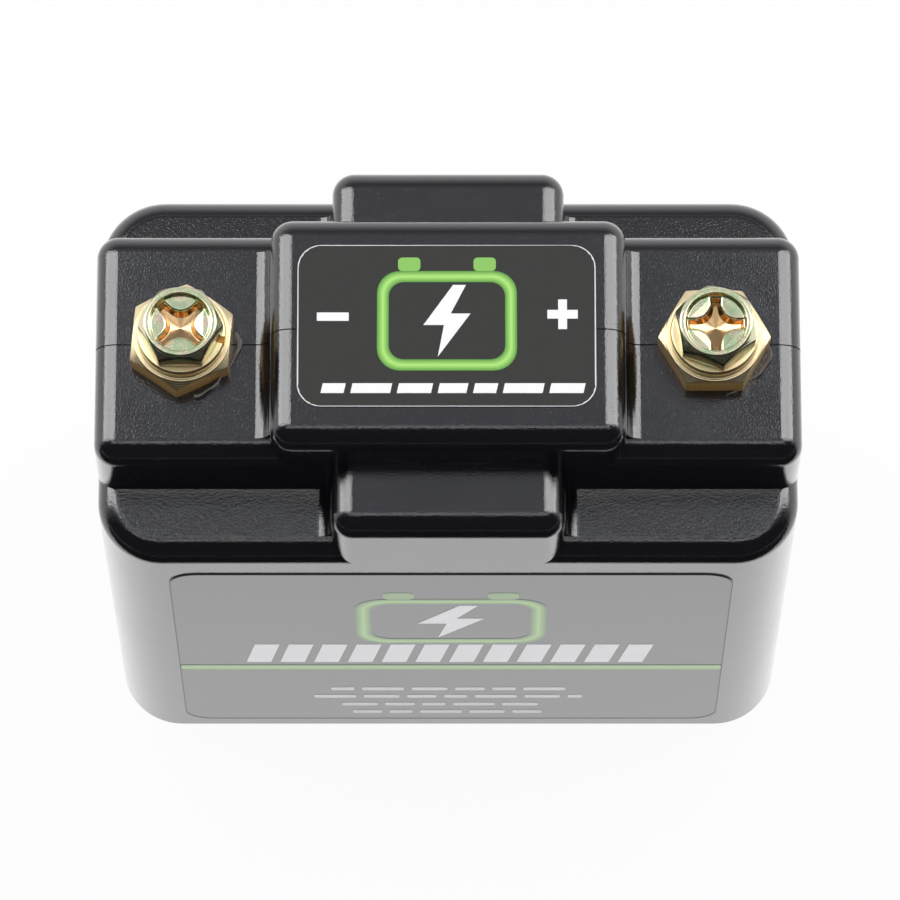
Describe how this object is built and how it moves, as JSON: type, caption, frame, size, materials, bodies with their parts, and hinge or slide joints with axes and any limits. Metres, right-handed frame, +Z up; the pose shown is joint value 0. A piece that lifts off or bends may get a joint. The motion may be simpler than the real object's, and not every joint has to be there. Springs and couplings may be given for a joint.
{
  "type": "motorcycle battery",
  "caption": "Compact lithium starter battery: a glossy black clamshell case with a stepped top, brass screw terminals with bolts and lock washers, and a cell pack with balance board inside.",
  "frame": {"origin": "middle of the flat underside", "axes": "+Z up, +X from the negative to the positive terminal, -Y towards the labelled front"},
  "size_m": [0.096, 0.0526, 0.1032],
  "materials": {
    "black_plastic": "injection moulded black ABS, glossy with a fine moulded bloom on the flats",
    "label_print": "satin printed vinyl label, dark warm grey",
    "turned_brass": "turned and milled brass, bare",
    "yellow_zinc": "zinc plated steel, yellow chromate",
    "clear_adhesive": "clear cured adhesive",
    "holder_plastic": "moulded grey ABS",
    "nickel_strip": "nickel plated strip",
    "copper_strap": "bare copper strip",
    "black_sleeve": "black heat-shrink sleeve",
    "red_sleeve": "red heat-shrink sleeve",
    "cell_wrap": "blue shrink wrap over a steel can",
    "fish_paper": "insulating fibre sheet",
    "circuit_board": "solder masked glass-fibre board",
    "component_black": "black moulded component bodies",
    "white_nylon": "natural nylon connector",
    "wire_insulation": "blue wire insulation"
  },
  "bodies": {
    "battery": {"front_case_half": "black_plastic", "rear_case_half": "black_plastic", "top_label": "label_print", "front_label": "label_print", "negative_terminal": "turned_brass", "positive_terminal": "turned_brass", "negative_sealant": "clear_adhesive", "positive_sealant": "clear_adhesive", "negative_strap": "copper_strap", "positive_strap": "copper_strap", "negative_strap_nut": "turned_brass", "positive_strap_nut": "turned_brass", "negative_strap_sleeve": "black_sleeve", "positive_strap_sleeve": "red_sleeve", "negative_busbar": "nickel_strip", "positive_busbar": "nickel_strip", "upper_link": "nickel_strip", "lower_left_link": "nickel_strip", "lower_right_link": "nickel_strip", "lower_cell_holder": "holder_plastic", "upper_cell_holder": "holder_plastic", "lower_insulating_sheet": "fish_paper", "upper_insulating_sheet": "fish_paper", "balance_board": "circuit_board", "balance_resistors": "component_black", "balance_chips": "component_black", "wire_header": "white_nylon", "wire_plug": "white_nylon", "balance_wires": "wire_insulation", "cell_1": "cell_wrap", "cell_2": "cell_wrap", "cell_3": "cell_wrap", "cell_4": "cell_wrap", "cell_5": "cell_wrap", "cell_6": "cell_wrap", "cell_7": "cell_wrap", "cell_8": "cell_wrap"},
    "negative_washer": {"negative_washer": "yellow_zinc"},
    "negative_bolt": {"negative_bolt": "yellow_zinc"},
    "positive_washer": {"positive_washer": "yellow_zinc"},
    "positive_bolt": {"positive_bolt": "yellow_zinc"}
  },
  "joints": [
    {"name": "negative_washer_lift", "type": "slide", "parent": "battery", "child": "negative_washer", "axis": [0, 0, 1], "range_m": [0, 0.009]},
    {"name": "negative_bolt_turn", "type": "hinge", "parent": "negative_washer", "child": "negative_bolt", "pos_m": [-0.03605, 0, 0.0976], "axis": [0, 0, 1], "range_deg": [0, 3240]},
    {"name": "positive_washer_lift", "type": "slide", "parent": "battery", "child": "positive_washer", "axis": [0, 0, 1], "range_m": [0, 0.009]},
    {"name": "positive_bolt_turn", "type": "hinge", "parent": "positive_washer", "child": "positive_bolt", "pos_m": [0.03605, 0, 0.0976], "axis": [0, 0, 1], "range_deg": [0, 3240]}
  ],
  "couplings": [
    {"joint": "negative_bolt_turn", "follows": "negative_washer_lift", "rad_per_m": 6283},
    {"joint": "positive_bolt_turn", "follows": "positive_washer_lift", "rad_per_m": 6283}
  ]
}
